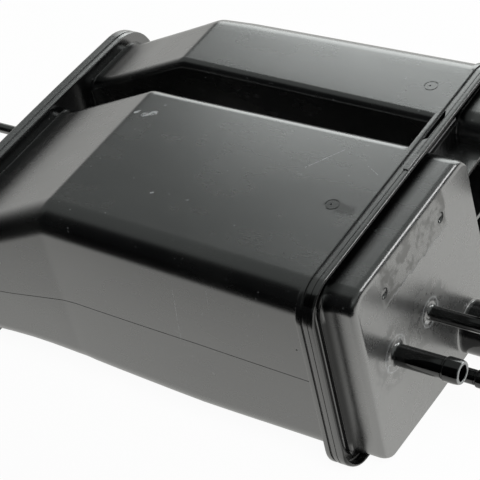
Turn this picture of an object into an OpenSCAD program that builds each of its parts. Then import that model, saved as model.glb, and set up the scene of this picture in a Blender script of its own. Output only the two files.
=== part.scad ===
// Fuel vapour canister: two carbon chambers in one moulded body, with a cap welded on each end.
// Built from the weld seam of the port cap: x runs towards the ports, y across the chambers, z up.

/* [Chambers] */
// Width of the main chamber at the port end
main_w = 102.5; // [85:0.5:125]
// Width of the vent chamber at the port end
vent_w = 44; // [40:0.5:60]
// Slot between the two chambers at the port end
chamber_gap = 19; // [15:0.5:25]
// Height of both chambers along their level length
chamber_h = 93; // [84:1:110]
// Length from the port seam to the ridge where the ramp starts
level_len = 135; // [100:1:170]
// Length of the ramp from the ridge to the rear flange
ramp_len = 62; // [50:1:75]
// Drop of the chamber tops over the ramp
ramp_drop = 28.5; // [15:0.5:32]
// Radius of the long edges of the chambers
edge_r = 12.5; // [9:0.5:14]
// Inward draft of the front wall from the seam to the ridge
front_draft = 4.3; // [2:0.1:6]
// Inward draft of the walls beside the slot from the seam to the ridge
slot_draft = 1.4; // [0.5:0.1:2.5]
// Inward draft of the back wall from the seam to the ridge
back_draft = 3; // [1:0.1:5]
// Outward flare of the front wall along the ramp
ramp_flare = 3.5; // [0.5:0.5:5]
// Wall thickness of the mouldings
wall_t = 2.5; // [2:0.1:3]

/* [Port end] */
// How far the rim stands out in front of the main chamber
rim_front = 2; // [1:0.5:5]
// How far the rim stands out behind the vent chamber
rim_back = 3; // [1:0.5:6]
// How far the rim hangs below the chambers
rim_drop = 10; // [6:0.5:14]
// Corner radius of the rim
rim_r = 15; // [14.5:0.5:20]
// Thickness of the weld flange on the body
port_flange_t = 3; // [2.5:0.5:6]
// Depth of the cap's rim from the seam to the lip's crest
rim_depth = 5.5; // [5:0.5:8]
// Radius of the lip's outer edge
lip_r = 1.2; // [0.8:0.1:1.5]
// Width of the lip around the cap
lip_w = 1.6; // [1.5:0.1:3]
// Width of the groove inside the lip
groove_w = 4.4; // [3:0.1:5]
// Depth of the groove below the lip's crest
groove_depth = 2.3; // [1:0.1:2.6]
// Thickness of the cap's plate between the rim and the domes
cap_plate_t = 5; // [4:0.5:6]
// Depth of the recess in the cap's plate opposite the slot
slot_recess = 2; // [1:0.1:2.2]

/* [Domes] */
// Height of the domes above the seam
dome_len = 19.3; // [17:0.1:26]
// Gap between the front of the rim and the main dome
dome_front = 9.6; // [7:0.1:12]
// How far the main dome reaches past the main chamber
dome_reach = 4; // [0:0.5:5]
// Gap between the top of the rim and the domes
dome_top = 4.2; // [4:0.1:8]
// Gap between the bottom of the rim and the domes
dome_bottom = 1.5; // [1:0.1:8]
// Gap between the back of the rim and the vent dome
dome_back = 8.5; // [7:0.1:12]
// Corner radius of the domes
dome_r = 9; // [6:0.5:11]
// Edge radius of the domes' end faces
dome_edge_r = 3.5; // [2:0.5:5]
// Thickness of the ribs between the domes
rib_t = 2; // [1.5:0.1:3]
// Spacing of the ribs between the domes
rib_pitch = 26; // [20:1:32]
// Depth of the top rib below the domes' top
rib_first = 11.8; // [8:0.1:16]
// How far the ribs stop short of the domes' end faces
rib_short = 0.8; // [0.5:0.1:4]

/* [Ports] */
// Outer diameter of the purge spigot
purge_d = 9.4; // [8:0.1:11]
// Length of the purge spigot beyond the end face
purge_len = 31; // [25:1:40]
// Distance of the purge spigot from the front of the main dome
purge_y = 22.1; // [18:0.1:26]
// Height of the purge spigot above the rim's foot
purge_z = 51; // [49:0.5:56]
// Outer diameter of the two vapour spigots
vapour_d = 6.6; // [5:0.1:8]
// Length of the vapour spigots beyond the end face
vapour_len = 34; // [25:1:40]
// Distance of the upper vapour spigot from the front of the main dome
vapour_upper_y = 51.7; // [48:0.1:54]
// Height of the upper vapour spigot above the rim's foot
vapour_upper_z = 48; // [46:0.5:50]
// Distance of the lower vapour spigot from the front of the main dome
vapour_lower_y = 39.4; // [36:0.1:42]
// Height of the lower vapour spigot above the rim's foot
vapour_lower_z = 30; // [28:0.5:32]
// Outer diameter of the tank spigot
tank_d = 24; // [18:0.1:25]
// Length of the tank spigot beyond the end face
tank_len = 30; // [22:1:38]
// Distance of the tank spigot from the slot side of the main dome
tank_y = 18.5; // [17:0.1:22]
// Height of the tank spigot above the rim's foot
tank_z = 14.5; // [14:0.5:18]
// Outer diameter of the vent spigot
vent_d = 18; // [14:0.1:19]
// Length of the vent spigot beyond the end face
vent_len = 24; // [18:1:34]
// Height of the vent spigot above the rim's foot
vent_z = 55; // [53:0.5:58]
// Wall thickness of the spigots
spigot_wall = 1.2; // [1:0.1:1.5]
// How far the hose barrel at a spigot's free end stands out of it
barrel_rise = 0.7; // [0.4:0.1:1]
// Length of the hose barrel at a spigot's free end
barrel_len = 7.5; // [6:0.5:10]
// Diameter of the thin spigot on the rear cap
drain_d = 4.8; // [4:0.1:6]
// Length of the thin spigot beyond the rear pan
drain_len = 26; // [15:1:32]
// Distance of the thin spigot from the front of the rear flange
drain_y = 88; // [70:0.5:100]
// Distance of the thin spigot below the top of the rear flange
drain_top = 15; // [12:0.5:20]

/* [Rear end] */
// How far the rear flange stands out in front of the main chamber
rear_front = 5; // [4:0.5:8]
// How far the rear flange stands out behind the vent chamber
rear_back = 6.7; // [3:0.1:9]
// How far the rear flange stands above the foot of the ramp
rear_top = 8.5; // [4:0.5:12]
// How far the rear flange hangs below the chambers
rear_drop = 7.5; // [4:0.5:9.5]
// Corner radius of the rear flange
rear_r = 22; // [15:0.5:26]
// Thickness of the rear flange on the body
rear_flange_t = 3.2; // [3:0.1:5]
// Thickness of the flange on the rear cap
rear_cap_t = 4.8; // [3.5:0.1:7]
// Depth of the rear pan behind its flange
pan_len = 7; // [5:0.5:14]
// Margin of the flange around the rear pan
pan_margin = 8; // [5.5:0.5:10]
// Edge radius of the rear pan
pan_edge_r = 3.5; // [2:0.5:6]
// Gap between the rear flange and the collar at the foot of the ramp
collar_set = 3; // [2:0.5:5]
// Length of the collar
collar_len = 3.5; // [2:0.5:5]
// How far the collar stands out of the chamber walls
collar_rise = 2.4; // [1.5:0.1:3]
// Ledge inside the rear opening that carries the screens
ledge_w = 3; // [2:0.5:5]

/* [Inside] */
// Thickness of the foam pads
pad_t = 6; // [4:0.5:9]
// Thickness of the retainers and screens
plate_t = 3; // [2:0.5:4]
// Distance from the seam to the port face of the retainers
retainer_set = 5; // [4.5:0.5:7]
// Side length of the windows in the retainers and screens
window = 6.5; // [5:0.5:7]
// Spacing of the windows
window_pitch = 9.5; // [8.5:0.5:12]
// Outer diameter of the springs
spring_d = 20; // [16:0.5:22]
// Wire diameter of the springs
wire_d = 2; // [1.5:0.1:2.4]
// Number of turns of a spring
spring_turns = 4; // [3:1:5]
// Height of the springs above and below the middle of the domes
spring_lift = 20; // [19:0.5:24]
// Distance of the main springs to either side of the middle of the main dome
spring_swing = 24.5; // [22:0.5:28]
// Height of the bosses that locate the springs
seat_h = 3; // [2:0.5:4]
// Clearance around the pieces inside
clearance = 0.3; // [0.2:0.1:0.5]

/* [Details] */
// Width of the groove at the welds
weld_gap = 0.5; // [0.3:0.1:1]
// Depth of the groove at the welds
weld_depth = 0.8; // [0.4:0.1:1.2]
// Diameter of the gate marks on the chamber tops
gate_d = 6.4; // [4:0.2:8]
// Depth of the gate marks and of the dimples
mark_depth = 0.6; // [0.3:0.1:1]
// Diameter of the dimples on the main dome
dimple_d = 3.6; // [2.5:0.1:5]
// Height of the dimples below the top of the main dome
dimple_drop = 14.3; // [10:0.1:18]
// Distance of the gate marks from the seam
gate_x = 15; // [10:1:30]
// Distance of the gate mark on the vent chamber from the slot
gate_vent = 16.2; // [14:0.1:20]

/* [Hidden] */
nylon = "#222426";
foam = "#a9a394";
acetal = "#d9d6cb";
carbon = "#151515";
steel = "silver";
$fn = 64;
hull_fn = 32;
disc_t = 0.4;
half_disc = disc_t / 2;
lap = 0.02;
over = 1;
rounding_steps = 4;

// Heights and places along the canister
base_z = rim_drop;
top_z = base_z + chamber_h;
foot_top_z = top_z - ramp_drop;
vent_y0 = main_w + chamber_gap;
vent_y1 = vent_y0 + vent_w;
ridge_x = -level_len;
foot_x = -level_len - ramp_len;
collar_x = foot_x + collar_set;
rear_seam_x = foot_x - rear_flange_t;
pan_x = rear_seam_x - rear_cap_t;
foot_share = (level_len + ramp_len) / level_len;

// An outline is [front y, back y, bottom z, top z]
main_seam = [0, main_w, base_z, top_z];
main_ridge = [front_draft, main_w - slot_draft, base_z, top_z];
main_foot = [front_draft - ramp_flare, main_w - slot_draft * foot_share, base_z, foot_top_z];
vent_seam = [vent_y0, vent_y1, base_z, top_z];
vent_ridge = [vent_y0 + slot_draft, vent_y1 - back_draft, base_z, top_z];
vent_foot = [vent_y0 + slot_draft * foot_share, vent_y1 - back_draft * foot_share, base_z, foot_top_z];
rim = [-rim_front, vent_y1 + rim_back, 0, top_z];
rear = [-rear_front, vent_y1 + rear_back, base_z - rear_drop, foot_top_z + rear_top];
pan = inset(rear, pan_margin);
main_dome = [rim[0] + dome_front, main_w + dome_reach, dome_bottom, top_z - dome_top];
vent_dome = [vent_y0 + slot_draft, rim[1] - dome_back, dome_bottom, top_z - dome_top];
main_chamber = [main_seam, main_ridge, main_foot];
vent_chamber = [vent_seam, vent_ridge, vent_foot];
inner_r = edge_r - wall_t;
bed_port_x = -retainer_set - plate_t - pad_t;
bed_rear_x = foot_x + plate_t + pad_t;
seat_x = dome_len - wall_t;
seat_r = spring_d / 2 - wire_d - clearance;
main_mid_y = (main_dome[0] + main_dome[1]) / 2;
vent_mid_y = (vent_dome[0] + vent_dome[1]) / 2;
mid_z = (main_dome[2] + main_dome[3]) / 2;
main_springs = [
    [main_mid_y - spring_swing, mid_z + spring_lift],
    [main_mid_y + spring_swing, mid_z - spring_lift / 2]];
vent_springs = [
    [vent_mid_y, mid_z + spring_lift],
    [vent_mid_y, mid_z - spring_lift]];
drain_y0 = rear[0] + drain_y;
drain_z0 = rear[3] - drain_top;

// The finished part stands on its base with the middle of its box over the origin
x_high = dome_len + max(purge_len, vapour_len, tank_len, vent_len);
x_low = pan_x - pan_len - drain_len;
y_low = min(rim[0], rear[0]);
y_high = max(rim[1], rear[1]);
origin = [(x_high + x_low) / 2, (y_low + y_high) / 2, 0];

// Purge, upper vapour, lower vapour, tank and vent spigots as [y, z, diameter, length]
ports = [
    [main_dome[0] + purge_y, purge_z, purge_d, purge_len],
    [main_dome[0] + vapour_upper_y, vapour_upper_z, vapour_d, vapour_len],
    [main_dome[0] + vapour_lower_y, vapour_lower_z, vapour_d, vapour_len],
    [main_dome[1] - tank_y, tank_z, tank_d, tank_len],
    [vent_mid_y, vent_z, vent_d, vent_len]];

function inset(s, d) = [s[0] + d, s[1] - d, s[2] + d, s[3] - d];
function blend(a, b, t) = [for (i = [0:3]) a[i] + (b[i] - a[i]) * t];
function outline_at(chamber, x) = x > ridge_x
    ? blend(chamber[0], chamber[1], -x / level_len)
    : blend(chamber[1], chamber[2], (ridge_x - x) / ramp_len);
function cavity_at(chamber, x, gap) = inset(outline_at(chamber, x), wall_t + gap);

module along_x(x) {
    translate([x, 0, 0]) rotate([90, 0, 90]) children();
}

module rounded(s, r) {
    translate([s[0] + r, s[2]]) square([s[1] - s[0] - 2 * r, s[3] - s[2]]);
    translate([s[0], s[2] + r]) square([s[1] - s[0], s[3] - s[2] - 2 * r]);
    for (y = [s[0] + r, s[1] - r], z = [s[2] + r, s[3] - r]) translate([y, z]) circle(r);
}

module plate(s, r, x0, x1) {
    along_x(x0) linear_extrude(x1 - x0) rounded(s, r);
}

module corner_discs(s, r, x) {
    for (y = [s[0] + r, s[1] - r], z = [s[2] + r, s[3] - r])
        along_x(x) translate([y, z, 0]) cylinder(r = r, h = disc_t, center = true, $fn = hull_fn);
}

// Chamber outlines blended between stations along x
module loft(outlines, stations, r) {
    hull() for (i = [0:len(stations) - 1]) corner_discs(outlines[i], r, stations[i]);
}

// Upright post of height h whose upper edge is rounded with radius e
module soft_post(r, h, e) {
    arc = [for (k = [0:rounding_steps]) let (turn = 90 * k / rounding_steps)
        [r - e + e * cos(turn), h - e + e * sin(turn)]];
    rotate_extrude($fn = hull_fn) polygon(concat([[0, 0], [r, 0]], arc, [[0, h]]));
}

// Block of height h along x whose outer edge is rounded with radius e
module soft_block(s, r, h, e) {
    hull() for (y = [s[0] + r, s[1] - r], z = [s[2] + r, s[3] - r])
        along_x(0) translate([y, z, 0]) soft_post(r, h, e);
}

module rod(y, z, d, x0, x1) {
    along_x(x0) translate([y, z, 0]) cylinder(d = d, h = x1 - x0);
}

// Hose spigot that stands on a face at x = 0, with a flared root and a raised barrel at its free end
module spigot(d, len) {
    root = barrel_rise * 2;
    barrel_d = d + 2 * barrel_rise;
    rod(0, 0, d, -wall_t, len);
    along_x(-lap) cylinder(d1 = d + 2 * root, d2 = d, h = root);
    rod(0, 0, barrel_d, len - barrel_len, len - barrel_rise);
    along_x(len - barrel_rise - lap) cylinder(d1 = barrel_d, d2 = d, h = barrel_rise + lap);
}

module spigot_bore(d, len) {
    rod(0, 0, d - 2 * spigot_wall, -wall_t - over, len + over);
}

module at_port(port) {
    translate([dome_len, port[0], port[1]]) children();
}

module at_drain() {
    translate([pan_x - pan_len, drain_y0, drain_z0]) mirror([1, 0, 0]) children();
}

module gate_mark(y) {
    translate([-gate_x, y, top_z - mark_depth]) difference() {
        cylinder(d = gate_d, h = mark_depth + over);
        translate([0, 0, -over]) cylinder(d = gate_d / 2, h = mark_depth / 2 + over);
    }
}

module rear_opening(chamber) {
    plate(cavity_at(chamber, foot_x, ledge_w), inner_r - ledge_w, rear_seam_x - over, foot_x + over);
}

module canister_body() color(nylon) difference() {
    union() {
        loft([main_seam, main_ridge], [-port_flange_t + half_disc, ridge_x], edge_r);
        loft([main_ridge, main_foot], [ridge_x, foot_x], edge_r);
        loft(vent_chamber, [-port_flange_t + half_disc, ridge_x, foot_x], edge_r);
        plate(rim, rim_r, -port_flange_t, -weld_gap);
        plate(inset(rim, weld_depth), rim_r - weld_depth, -port_flange_t, 0);
        plate(rear, rear_r, foot_x - rear_flange_t + weld_gap, foot_x);
        plate(inset(rear, weld_depth), rear_r - weld_depth, rear_seam_x, foot_x);
        for (c = [main_chamber, vent_chamber])
            plate(inset(outline_at(c, collar_x), -collar_rise), edge_r + collar_rise,
                collar_x, collar_x + collar_len);
    }
    loft([inset(main_seam, wall_t), inset(main_ridge, wall_t)], [over, ridge_x], inner_r);
    loft([inset(main_ridge, wall_t), inset(main_foot, wall_t)], [ridge_x, foot_x + half_disc], inner_r);
    loft([for (s = vent_chamber) inset(s, wall_t)], [over, ridge_x, foot_x + half_disc], inner_r);
    rear_opening(main_chamber);
    rear_opening(vent_chamber);
    gate_mark(main_w / 2);
    gate_mark(vent_y0 + gate_vent);
}

module cap_ribs() {
    bottom = main_dome[2] + rib_t;
    first = main_dome[3] - rib_first;
    for (z = [first:-rib_pitch:bottom])
        translate([cap_plate_t - lap, main_dome[1] - wall_t, z - rib_t])
            cube([dome_len - rib_short - cap_plate_t, vent_dome[0] - main_dome[1] + 2 * wall_t, rib_t]);
}

// Rim with a lip along its edge and a groove between the lip and the plate
module cap_rim() {
    bead = lip_w + groove_w;
    difference() {
        soft_block(rim, rim_r, rim_depth, lip_r);
        plate(inset(rim, lip_w), rim_r - lip_w, cap_plate_t, rim_depth + over);
        difference() {
            plate(inset(rim, lip_w), rim_r - lip_w, rim_depth - groove_depth, cap_plate_t + over);
            plate(inset(rim, bead), rim_r - bead, 0, cap_plate_t + 2 * over);
        }
    }
}

module port_cap() color(nylon) difference() {
    union() {
        cap_rim();
        soft_block(main_dome, dome_r, dome_len, dome_edge_r);
        soft_block(vent_dome, dome_r, dome_len, dome_edge_r);
        cap_ribs();
        for (p = ports) at_port(p) spigot(p[2], p[3]);
    }
    plate(inset(main_dome, wall_t), dome_r - wall_t, -over, dome_len - wall_t);
    plate(inset(vent_dome, wall_t), dome_r - wall_t, -over, dome_len - wall_t);
    translate([-over, main_dome[1], -over])
        cube([slot_recess + over, vent_dome[0] - main_dome[1], top_z + 2 * over]);
    for (p = ports) at_port(p) spigot_bore(p[2], p[3]);
    for (s = main_springs)
        rod(s[0], main_dome[3] - dimple_drop, dimple_d, dome_len - mark_depth, dome_len + over);
}

module rear_cap() color(nylon) difference() {
    union() {
        plate(rear, rear_r, pan_x, rear_seam_x);
        translate([rear_seam_x, 0, 0]) mirror([1, 0, 0])
            soft_block(pan, rear_r - pan_margin, rear_cap_t + pan_len, pan_edge_r);
        at_drain() spigot(drain_d, drain_len);
    }
    plate(inset(pan, wall_t), rear_r - pan_margin - wall_t, pan_x - pan_len + wall_t, rear_seam_x + over);
    at_drain() spigot_bore(drain_d, drain_len);
}

module carbon_bed(chamber) color(carbon) {
    stations = [bed_port_x - half_disc, ridge_x, bed_rear_x + half_disc];
    outlines = [for (x = stations) cavity_at(chamber, x, clearance)];
    loft([outlines[0], outlines[1]], [stations[0], stations[1]], inner_r - clearance);
    loft([outlines[1], outlines[2]], [stations[1], stations[2]], inner_r - clearance);
}

module port_pad(chamber) color(foam)
    plate(cavity_at(chamber, bed_port_x, clearance), inner_r - clearance, bed_port_x, bed_port_x + pad_t);

module rear_pad(chamber) color(foam) {
    stations = [bed_rear_x - half_disc, bed_rear_x - pad_t + half_disc];
    loft([for (x = stations) cavity_at(chamber, x, clearance)], stations, inner_r - clearance);
}

// Perforated plate: square windows in rows, left out around the listed seats
module grid_plate(s, r, x0, seats) {
    mid = [(s[0] + s[1]) / 2, (s[2] + s[3]) / 2];
    room = [(s[1] - s[0]) / 2 - r / 2 - window / 2, (s[3] - s[2]) / 2 - r / 2 - window / 2];
    count = [floor(room[0] / window_pitch), floor(room[1] / window_pitch)];
    difference() {
        plate(s, r, x0, x0 + plate_t);
        for (i = [-count[0]:count[0]], j = [-count[1]:count[1]]) {
            at = mid + window_pitch * [i, j];
            near = [for (c = seats) if (norm(at - c) < spring_d / 2 + window / 2) c];
            if (len(near) == 0)
                translate([x0 - over, at[0] - window / 2, at[1] - window / 2])
                    cube([plate_t + 2 * over, window, window]);
        }
    }
}

module retainer(chamber, seats) color(acetal) {
    x0 = -retainer_set - plate_t;
    grid_plate(cavity_at(chamber, x0, clearance), inner_r - clearance, x0, seats);
    for (c = seats) rod(c[0], c[1], 2 * seat_r, x0 + plate_t - lap, x0 + plate_t + seat_h);
}

module rear_screen(chamber) color(acetal)
    grid_plate(cavity_at(chamber, foot_x, clearance), inner_r - clearance, foot_x, []);

// Round wire swept along a helix whose ends lie flat against the seats
module spring(at) color(steel) {
    sides = 8;
    per_turn = 20;
    low = -retainer_set + wire_d / 2 + clearance;
    high = seat_x - wire_d / 2 - clearance;
    coil_r = (spring_d - wire_d) / 2;
    last = per_turn * spring_turns;
    points = [for (i = [0:last], k = [0:sides - 1])
        let (turn = 360 * i / per_turn, side = 360 * k / sides)
        let (r = coil_r + wire_d / 2 * cos(side), rise = wire_d / 2 * sin(side))
        [low + (high - low) * i / last + rise, at[0] + r * cos(turn), at[1] + r * sin(turn)]];
    walls = [for (i = [0:last - 1], k = [0:sides - 1])
        let (a = i * sides + k, b = i * sides + (k + 1) % sides) [a, b, b + sides, a + sides]];
    start = [for (k = [sides - 1:-1:0]) k];
    end = [for (k = [0:sides - 1]) last * sides + k];
    polyhedron(points, concat(walls, [start, end]), convexity = 6);
}

module placed() {
    translate(-origin) children();
}

placed() canister_body();
placed() port_cap();
placed() rear_cap();
placed() carbon_bed(main_chamber);  // main_carbon_bed
placed() carbon_bed(vent_chamber);  // vent_carbon_bed
placed() port_pad(main_chamber);  // main_port_pad
placed() port_pad(vent_chamber);  // vent_port_pad
placed() rear_pad(main_chamber);  // main_rear_pad
placed() rear_pad(vent_chamber);  // vent_rear_pad
placed() retainer(main_chamber, main_springs);  // main_retainer
placed() retainer(vent_chamber, vent_springs);  // vent_retainer
placed() rear_screen(main_chamber);  // main_rear_screen
placed() rear_screen(vent_chamber);  // vent_rear_screen
placed() spring(main_springs[0]);  // main_spring_upper
placed() spring(main_springs[1]);  // main_spring_lower
placed() spring(vent_springs[0]);  // vent_spring_upper
placed() spring(vent_springs[1]);  // vent_spring_lower
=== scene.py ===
import math
import bmesh
import bpy
from mathutils import Matrix, Vector


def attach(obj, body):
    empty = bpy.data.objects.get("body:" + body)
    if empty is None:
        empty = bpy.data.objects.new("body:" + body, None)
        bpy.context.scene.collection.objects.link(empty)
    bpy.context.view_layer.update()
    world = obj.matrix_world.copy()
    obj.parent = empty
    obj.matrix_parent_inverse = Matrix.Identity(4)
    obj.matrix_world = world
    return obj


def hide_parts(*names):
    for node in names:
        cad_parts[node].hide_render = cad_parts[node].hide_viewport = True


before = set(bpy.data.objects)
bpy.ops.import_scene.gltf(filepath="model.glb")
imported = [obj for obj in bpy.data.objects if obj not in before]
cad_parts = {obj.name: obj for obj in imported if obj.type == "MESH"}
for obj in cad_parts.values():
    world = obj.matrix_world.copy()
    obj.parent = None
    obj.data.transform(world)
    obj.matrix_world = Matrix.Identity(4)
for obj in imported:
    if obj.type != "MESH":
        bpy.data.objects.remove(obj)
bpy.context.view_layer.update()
scene = bpy.context.scene
print("frame loaded with", len(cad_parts), "nodes")

origin = (-92.35, 83.6, 0.0)  # middle of the part's box, mm from the port weld, front wall and base
sink = 1.0  # mm by which one shape reaches into the next
clear = 2.0  # mm by which a cutting tool stands out
finest = 0.05  # mm, the smallest corner radius


def toPart(x, y, z):  # mm from the weld to the part's own frame in metres
    return Vector(((x - origin[0]) / 1000, (y - origin[1]) / 1000, (z - origin[2]) / 1000))


def meshFrom(name, points, faces):
    mesh = bpy.data.meshes.new(name)
    mesh.from_pydata([toPart(*p) for p in points], [], faces)
    work = bmesh.new()
    work.from_mesh(mesh)
    bmesh.ops.recalc_face_normals(work, faces=work.faces)
    work.to_mesh(mesh)
    work.free()
    obj = bpy.data.objects.new(name, mesh)
    scene.collection.objects.link(obj)
    return obj


def skin(name, rings):  # quads from ring to ring, a flat face on each end
    count = len(rings[0])
    points = [p for ring in rings for p in ring]
    faces = [tuple(range(count)), tuple(range(len(points) - count, len(points)))]
    for start in range(0, len(points) - count, count):
        for k in range(count):
            a, b = start + k, start + (k + 1) % count
            faces.append((a, b, b + count, a + count))
    return meshFrom(name, points, faces)


def inset(outline, d):  # an outline is front y, back y, bottom z and top z
    return (outline[0] + d, outline[1] - d, outline[2] + d, outline[3] - d)


def grow(outline, front, back, low, high):
    return (outline[0] - front, outline[1] + back, outline[2] - low, outline[3] + high)


def blend(a, b, t):
    return tuple(p + (q - p) * t for p, q in zip(a, b))


def share(value, none, full):  # 0 at none, 1 at full
    return min(max((value - none) / (full - none), 0), 1)


def eased(value, none, full):
    t = share(value, none, full)
    return t * t * (3 - 2 * t)


def layersAt(x, d, profile, side=1):  # sets a profile of runs along x and insets at a place
    return [(x + side * run, d + more) for run, more in profile]


def quarterTurn(steps):  # sine and cosine from 0 to 90 degrees
    turns = [math.radians(90 * k / steps) for k in range(steps + 1)]
    return [(math.sin(turn), math.cos(turn)) for turn in turns]


def fullTurn(steps):
    turns = [2 * math.pi * k / steps for k in range(steps)]
    return [(math.sin(turn), math.cos(turn)) for turn in turns]


def roundedRing(x, outline, radius, steps=12, crown=0.0, sides=6):
    y0, y1, z0, z1 = outline
    corners = radius if isinstance(radius, tuple) else (radius,) * 4
    radii = [max(r, finest) for r in corners]  # back top, front top, front bottom, back bottom
    a, b, c, d = radii
    centres = ((y1 - a, z1 - a), (y0 + b, z1 - b), (y0 + c, z0 + c), (y1 - d, z0 + d))
    ring = []
    for quarter, (cy, cz) in enumerate(centres):
        r = radii[quarter]
        for k in range(steps + 1):
            turn = math.radians(90 * (quarter + k / steps))
            ring.append((x, cy + r * math.cos(turn), cz + r * math.sin(turn)))
        outY, outZ = math.cos(turn), math.sin(turn)
        lastY, lastZ = ring[-1][1:]
        following = (quarter + 1) % 4
        nextY, nextZ = centres[following]
        runY = nextY + radii[following] * outY - lastY
        runZ = nextZ + radii[following] * outZ - lastZ
        for k in range(1, sides):  # the straight run to the next corner, slightly crowned
            t = k / sides
            bow = crown * 4 * t * (1 - t)
            ring.append((x, lastY + runY * t + bow * outY, lastZ + runZ * t + bow * outZ))
    return ring


def turned(name, profile, y, z, steps=56):  # profile of x and radius turned about an axis along x
    circle = fullTurn(steps)
    return skin(name, [[(x, y + r * c, z + r * s) for s, c in circle] for x, r in profile])


def upright(name, x, y, profile, steps=40):  # profile of z and radius turned about an upright axis
    circle = fullTurn(steps)
    return skin(name, [[(x + r * c, y + r * s, z) for s, c in circle] for z, r in profile])


def carve(target, operation, tools):
    for tool in tools:
        step = target.modifiers.new("step", "BOOLEAN")
        step.operation = operation
        step.solver = "EXACT"
        step.object = tool
        with bpy.context.temp_override(object=target, active_object=target, selected_objects=[target]):
            bpy.ops.object.modifier_apply(modifier=step.name)
        bpy.data.objects.remove(tool)


def smoothOff(obj, sharpAngle=34, weldReach=1e-6):
    mesh = obj.data
    work = bmesh.new()
    work.from_mesh(mesh)
    bmesh.ops.remove_doubles(work, verts=work.verts, dist=weldReach)
    bmesh.ops.dissolve_degenerate(work, edges=work.edges, dist=weldReach)
    work.to_mesh(mesh)
    work.free()
    mesh.polygons.foreach_set("use_smooth", [True] * len(mesh.polygons))
    mesh.set_sharp_from_angle(angle=math.radians(sharpAngle))
    even = obj.modifiers.new("even", "WEIGHTED_NORMAL")
    even.keep_sharp = True


# twin chamber body

body = {
    "mainWidth": 102.5, "ventWidth": 44.0, "gap": 19.0, "floorZ": 10.0, "topZ": 103.0,
    "levelLength": 135.0, "rampLength": 62.0, "rampDrop": 28.5, "edgeRadius": 12.5,
    "frontDraft": 4.3, "slotDraft": 1.4, "backDraft": 3.0, "rampFlare": 3.5,
    "wall": 2.5, "crown": 0.5, "ledge": 3.0, "ledgeRadius": 7.0, "ledgeStart": 0.5,
    # both edges along the slot are tighter than the outer ones
    "mainRadii": (7.0, 12.5, 12.5, 7.0), "mainTrim": 1.3,
    "ventRadii": (12.5, 4.0, 4.0, 12.5), "ventGrow": 4.5,
    # the bead at the foot of the ramps, as reach and rise
    "footBead": ((14, 0), (11.5, 0.15), (9, 0.5), (7, 1.1), (5.6, 1.8), (4.6, 2.35), (3.9, 2.4), (3.3, 2.1),
                 (3.05, 1.5), (3, 0)),
    # where the rings of a chamber stand along x
    "skinStart": (-1.0, -6), "spaceStart": (3.0, -0.6, -6), "levelSteps": 8, "rampSteps": 6,
    "ridgeSteps": (6, 3, 1.6, 0.8, 0, -0.8, -1.6, -3, -6), "ridgeReach": 1.6,
    # how far the walls leave the plain draft, by x
    "lowFront": ((0, 0.0), (-18, -0.4), (-40, -0.95), (-60, -1.55), (-72, -1.6), (-93, -1.05), (-116, -0.4),
                 (-128, 0.0), (-140, 0.8), (-152, 1.8), (-165, 2.2), (-197, 2.2)),
    "lowRise": ((0, 0.0), (-128, 0.0), (-140, 0.2), (-152, 0.7), (-165, 1.5), (-185, 2.1), (-197, 2.1)),
    "ventLean": ((0, 0.0), (-118, 0.0), (-135, 1.0), (-150, 1.7), (-197, 1.7)),
    "lowFrontHeights": (54, 14), "lowFrontDepths": (46, 12), "lowRiseHeights": (32, 12),
    "ventLeanDepths": (140, 158),
    "partingLine": ((-3.5, 54.0), (-60, 54.5), (-128, 53.4), (-136, 52.6), (-165, 48.5), (-192, 46.0)),
    "partingWidth": 0.35, "partingDepth": 0.3, "partingProud": 3.0,
}
gate = {
    "marks": ((-14.9, 52.9), (-13.4, 137.3)), "radius": 3.2, "depth": 0.25, "width": 0.4, "flare": 0.3,
    "pitOffset": 0.5, "pit": ((-0.7, 0.2), (-0.6, 0.4), (2, 0.6)),
}
seam = {"gap": 0.5, "depth": 0.8}  # half the groove at each weld
portFlange = {
    "front": 2.0, "back": 3.0, "cornerRadius": 15.0, "thickness": 3.0,
    "outerEdge": ((0, 0.7), (0.2, 0.2), (0.6, 0)), "seamEdge": ((0.4, 0), (0.1, 0.15), (0, 0.4)),
}
rearFlange = {
    "front": 5.0, "back": 6.7, "above": 8.5, "below": 7.5, "cornerRadius": 22.0,
    "bodyThickness": 3.2, "capThickness": 4.8, "panLength": 7.0, "panMargin": 8.0, "panEdge": 3.5,
    "outerEdge": ((0, 0.8), (0.2, 0.25), (0.6, 0)), "seamEdge": ((0.4, 0), (0, 0.3)),
    "capEdge": ((1.2, 0), (0.4, 0.3), (0, 1.1)),
    "fall": {"front": 0.45, "more": 1.6, "span": 140.0, "heights": (40, 70)},
}

ventFront = body["mainWidth"] + body["gap"]
ventBack = ventFront + body["ventWidth"]
ridgeX = -body["levelLength"]
footX = ridgeX - body["rampLength"]
footShare = footX / ridgeX
floorZ, topZ = body["floorZ"], body["topZ"]
footTop = topZ - body["rampDrop"]
rearSeamX = footX - rearFlange["bodyThickness"]

mainChamber = (  # outlines at the port weld, the ridge and the foot of the ramp
    (0, body["mainWidth"], floorZ, topZ),
    (body["frontDraft"], body["mainWidth"] - body["slotDraft"], floorZ, topZ),
    (body["frontDraft"] - body["rampFlare"], body["mainWidth"] - body["slotDraft"] * footShare,
     floorZ, footTop),
)
ventChamber = (
    (ventFront, ventBack, floorZ, topZ),
    (ventFront + body["slotDraft"], ventBack - body["backDraft"], floorZ, topZ),
    (ventFront + body["slotDraft"] * footShare, ventBack - body["backDraft"] * footShare, floorZ, footTop),
)
rimOutline = (-portFlange["front"], ventBack + portFlange["back"], 0.0, topZ)
rearOutline = (-rearFlange["front"], ventBack + rearFlange["back"],
               floorZ - rearFlange["below"], footTop + rearFlange["above"])


def outlineAt(chamber, x):
    if x > ridgeX:
        return blend(chamber[0], chamber[1], x / ridgeX)
    return blend(chamber[1], chamber[2], (ridgeX - x) / body["rampLength"])


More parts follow.
